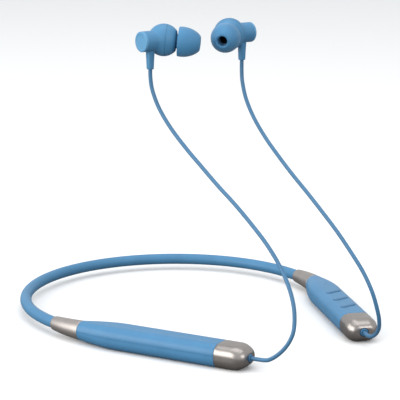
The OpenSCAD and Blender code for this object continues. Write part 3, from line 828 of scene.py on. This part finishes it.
def tipPath():
    r, hole = tip["diameter"] / 2, tip["hole"] / 2
    ring, dome, brim = hole + 0.7, tip["length"] - tip["brim"], tip["brim"]

    def skin(a, inset, less):
        across = ring + (r - ring) * math.cos(a) ** tip["bluntness"]
        return (across - inset, brim + (dome - less) * math.sin(a))

    outer = [skin(a, 0, 0) for a in np.linspace(0, math.radians(84), 30)]
    inner = [p for p in (skin(a, tip["wall"], 1.2) for a in np.linspace(math.radians(80), 0, 26))
             if p[0] > tip["stem"] + 0.35]
    stop = nozzle["end"] - tip["start"] + 0.4
    mouth = rounded([(outer[-1][0], outer[-1][1], 0), (hole + 0.35, tip["length"], 0.3),
                     (hole, tip["length"] - 0.35, 0.3), (hole, stop, 0)])
    brimEdge = rounded([(inner[-1][0], inner[-1][1], 0), (r - tip["wall"] - 0.12, 0.05, 0.15),
                        (r - 0.1, 0.0, 0.25), outer[0] + (0,)])
    return (outer + mouth[1:] + [(tip["bore"], stop), (tip["bore"], 0.6), (tip["stem"], 0.6),
            (tip["stem"], inner[0][1])] + inner + brimEdge[1:-1])


def makeTip(side):
    where = nozzlePlace @ Matrix.Translation((0, 0, tip["start"]))
    obj = lathe(side + "SiliconeTip", tipPath(), where, side, tipSilicone(), True, 112, 45)
    finishPiece(obj, [side + "_ear_tip"], side + "_tip")


relief = {"at": 7.0, "top": 3.2, "foot": 2.6, "length": 7.6, "corner": 0.8}


# A soft square boot that hugs the barrel and ends in a rounded mouth round the cord
def makeRelief(side):
    under = -ear["barrel"] / 2
    rows = [(under + 1.2, relief["top"] - 0.1), (under + 0.4, relief["top"])]
    rows += [(under - relief["length"] * s, relief["top"] + (relief["foot"] - relief["top"]) * s ** 0.8)
             for s in (0, 0.08, 0.2, 0.35, 0.5, 0.65, 0.8, 0.92, 0.955)]
    bottom = under - relief["length"]
    rows += [(bottom + 0.12, relief["foot"] - 0.08), (bottom + 0.03, relief["foot"] - 0.3),
             (bottom, relief["foot"] - 0.6)]
    where = earPlace @ Matrix.Translation((relief["at"], 0, 0))
    points = [[where @ Vector((x, y, z)) for x, y in boxOutline(w, w, relief["corner"], 8)]
              for z, w in rows]
    last = [where @ Vector((0.9 * x, 0.9 * y, bottom)) for x, y in circle(1, 36)]
    bore = [where @ Vector((0.86 * x, 0.86 * y, bottom + 0.8)) for x, y in circle(1, 36)]
    points += [last, bore]
    verts, faces, uvs = grid(points, False, True)
    obj = smoothObject(side + "StrainBoot", verts, faces, side, earRubber(), 42, uvs)
    finishPiece(obj, [side + "_strain_relief"])


# Nozzle mesh: a woven disc of wires, made with Geometry Nodes

weave = {"radius": 2.0, "pitch": 0.25, "wire": 0.045, "at": 10.5}


def weaveTree():
    tree, entry, outlet = newTree("weave", [
        ("Radius", "NodeSocketFloat", 0.002), ("Pitch", "NodeSocketFloat", 0.00025),
        ("Wire", "NodeSocketFloat", 0.00005), ("Material", "NodeSocketMaterial", None)])
    link = tree.links.new

    def calc(operation, a, b=None):
        node = tree.nodes.new("ShaderNodeMath")
        node.operation = operation
        for k, value in enumerate((a, b)):
            if isinstance(value, (int, float)):
                node.inputs[k].default_value = value
            elif value is not None:
                link(value, node.inputs[k])
        return node.outputs[0]

    radius, pitch, wire = (entry.outputs[n] for n in ("Radius", "Pitch", "Wire"))
    across = calc("FLOOR", calc("DIVIDE", radius, pitch))
    count = calc("ADD", calc("MULTIPLY", across, 2), -1)
    first = calc("MULTIPLY", calc("SUBTRACT", 1, across), pitch)
    row = tree.nodes.new("GeometryNodeMeshLine")
    firstPoint = tree.nodes.new("ShaderNodeCombineXYZ")
    stride = tree.nodes.new("ShaderNodeCombineXYZ")
    link(first, firstPoint.inputs["X"])
    link(pitch, stride.inputs["X"])
    link(count, row.inputs["Count"])
    link(firstPoint.outputs[0], row.inputs["Start Location"])
    link(stride.outputs[0], row.inputs["Offset"])
    strand = tree.nodes.new("GeometryNodeCurvePrimitiveLine")
    strand.inputs["Start"].default_value = (0, -1, 0)
    strand.inputs["End"].default_value = (0, 1, 0)
    finer = tree.nodes.new("GeometryNodeResampleCurve")
    finer.inputs["Count"].default_value = 49
    link(strand.outputs["Curve"], finer.inputs["Curve"])
    spot = tree.nodes.new("GeometryNodeInputPosition")
    apart = tree.nodes.new("ShaderNodeSeparateXYZ")
    link(spot.outputs[0], apart.inputs[0])
    x, y = apart.outputs["X"], apart.outputs["Y"]
    left = calc("SUBTRACT", calc("MULTIPLY", radius, radius), calc("MULTIPLY", x, x))
    chord = calc("SQRT", calc("MAXIMUM", left, 0))
    scale = tree.nodes.new("ShaderNodeCombineXYZ")
    scale.inputs["X"].default_value = scale.inputs["Z"].default_value = 1
    link(chord, scale.inputs["Y"])
    strands = tree.nodes.new("GeometryNodeInstanceOnPoints")
    link(row.outputs["Mesh"], strands.inputs["Points"])
    link(finer.outputs["Curve"], strands.inputs["Instance"])
    link(scale.outputs[0], strands.inputs["Scale"])
    real = tree.nodes.new("GeometryNodeRealizeInstances")
    link(strands.outputs["Instances"], real.inputs["Geometry"])
    turn = calc("MULTIPLY", math.pi, calc("DIVIDE", calc("ADD", x, y), pitch))
    rise = calc("MULTIPLY", wire, calc("COSINE", turn))
    lift = tree.nodes.new("ShaderNodeCombineXYZ")
    link(rise, lift.inputs["Z"])
    wave = tree.nodes.new("GeometryNodeSetPosition")
    link(real.outputs["Geometry"], wave.inputs["Geometry"])
    link(lift.outputs[0], wave.inputs["Offset"])
    other = tree.nodes.new("GeometryNodeTransform")
    other.inputs["Rotation"].default_value = (0, 0, math.pi / 2)
    other.inputs["Scale"].default_value = (1, 1, -1)
    link(wave.outputs["Geometry"], other.inputs["Geometry"])
    both = tree.nodes.new("GeometryNodeJoinGeometry")
    link(wave.outputs["Geometry"], both.inputs[0])
    link(other.outputs["Geometry"], both.inputs[0])
    section = tree.nodes.new("GeometryNodeCurvePrimitiveCircle")
    section.inputs["Resolution"].default_value = 5
    link(wire, section.inputs["Radius"])
    tube = tree.nodes.new("GeometryNodeCurveToMesh")
    tube.inputs["Fill Caps"].default_value = True
    link(both.outputs[0], tube.inputs["Curve"])
    link(section.outputs["Curve"], tube.inputs["Profile Curve"])
    finishTree(tree, tube.outputs["Mesh"], entry, outlet)
    return tree


def makeMesh(side, tree):
    obj = grow(side + "NozzleWeave", tree, {
        "Radius": weave["radius"] * mm, "Pitch": weave["pitch"] * mm, "Wire": weave["wire"] * mm,
        "Material": meshWire()})
    where = nozzlePlace @ Matrix.Translation((0, 0, weave["at"]))
    where.translation *= mm
    obj.data.transform(where)
    if side == "right":
        obj.data.transform(Matrix.Diagonal((-1, 1, 1, 1)))
        obj.data.flip_normals()
    finishPiece(obj, [side + "_nozzle_mesh"])


# CAD nodes that stay, with their finishes

kept = {
    "memory_wire": plainSteel, "lead_bundle": leadJacket, "left_pod_screws": darkSteel,
    "right_pod_screws": darkSteel, "main_board": boardMask, "dome_switches": plated,
    "radio_module": plainSteel, "microphone": plated, "status_light": lightPipe,
    "charging_socket": plainSteel, "battery_cell": cellFoil, "cell_board": boardMask,
    "vibration_motor": plainSteel, "motor_weight": darkSteel, "left_magnet": plainSteel,
    "right_magnet": plainSteel, "left_driver": driverFilm, "right_driver": driverFilm,
}


def paintKept():
    for name, finish in kept.items():
        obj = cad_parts[name]
        obj.data.materials.clear()
        obj.data.materials.append(finish())


# Floor and soft studio lights

studio = {"floor": (0.95, 0.95, 0.95), "bounce": (0.20, 0.20, 0.20), "world": (0.95, 0.97, 0.99),
          "worldStrength": 0.8, "reach": 6.0, "floorGap": 0.1}  # reach in metres
lights = [  # name, place, aim, size along and across, watts, colour
    ("sideBox", (-950, 60, 360), (0, -90, 20), (1.3, 0.8), 9.0, (1, 0.99, 0.97)),
    ("topBox", (60, -60, 1150), (0, -80, 30), (1.1, 1.1), 4.6, (0.98, 0.99, 1)),
    ("frontBox", (120, -1250, 620), (10, -80, 40), (0.9, 0.5), 3.5, (1, 1, 1)),
]


def addStudio():
    reach = studio["reach"]
    floorMesh = bpy.data.meshes.new("floor")
    z = cadLow.z - studio["floorGap"] * mm
    floorMesh.from_pydata([(-reach, -reach, z), (reach, -reach, z), (reach, reach, z), (-reach, reach, z)],
                          [], [(0, 1, 2, 3)])
    floor = bpy.data.objects.new("floor", floorMesh)
    bpy.context.collection.objects.link(floor)
    mat, tree, face = shader("studioPaper", studio["floor"], 0.8, specular=0.2)
    rays = tree.nodes.new("ShaderNodeLightPath")  # pale to the eye, but it throws little light up
    mix = tree.nodes.new("ShaderNodeMix")
    mix.data_type = "RGBA"
    mix.inputs["A"].default_value = (*studio["bounce"], 1)
    mix.inputs["B"].default_value = (*studio["floor"], 1)
    tree.links.new(rays.outputs["Is Camera Ray"], mix.inputs["Factor"])
    tree.links.new(mix.outputs["Result"], face.inputs["Base Color"])
    floorMesh.materials.append(mat)
    world = bpy.data.worlds.new("studio")
    world.use_nodes = True
    sky = world.node_tree.nodes["Background"]
    sky.inputs["Color"].default_value = (*studio["world"], 1)
    sky.inputs["Strength"].default_value = studio["worldStrength"]
    bpy.context.scene.world = world
    for name, at, aim, size, watts, color in lights:
        data = bpy.data.lights.new(name, "AREA")
        data.shape = "RECTANGLE"
        data.size, data.size_y = size
        data.energy = watts
        data.color = color
        obj = bpy.data.objects.new(name, data)
        bpy.context.collection.objects.link(obj)
        obj.location = Vector(at) * mm
        obj.rotation_euler = ((Vector(aim) - Vector(at)).to_track_quat("-Z", "Y")).to_euler()
    bpy.context.scene.view_settings.view_transform = "Standard"


for side in sides:
    makeCord(side)
print("cords laid")
makeSleeve()
for side in sides:
    makeCollar(side)
print("band and collars made")
makePods()
for i in range(3):
    makeButton(i)
for side in sides:
    makeCap(side)
    makeGrommet(side)
print("pods, buttons and caps made")
wires = weaveTree()
for side in sides:
    makeBarrel(side)
    makeBackCap(side)
    makeNozzle(side)
    makeTip(side)
    makeRelief(side)
    makeMesh(side, wires)
print("earpieces made")
paintKept()
addStudio()
print("studio set")
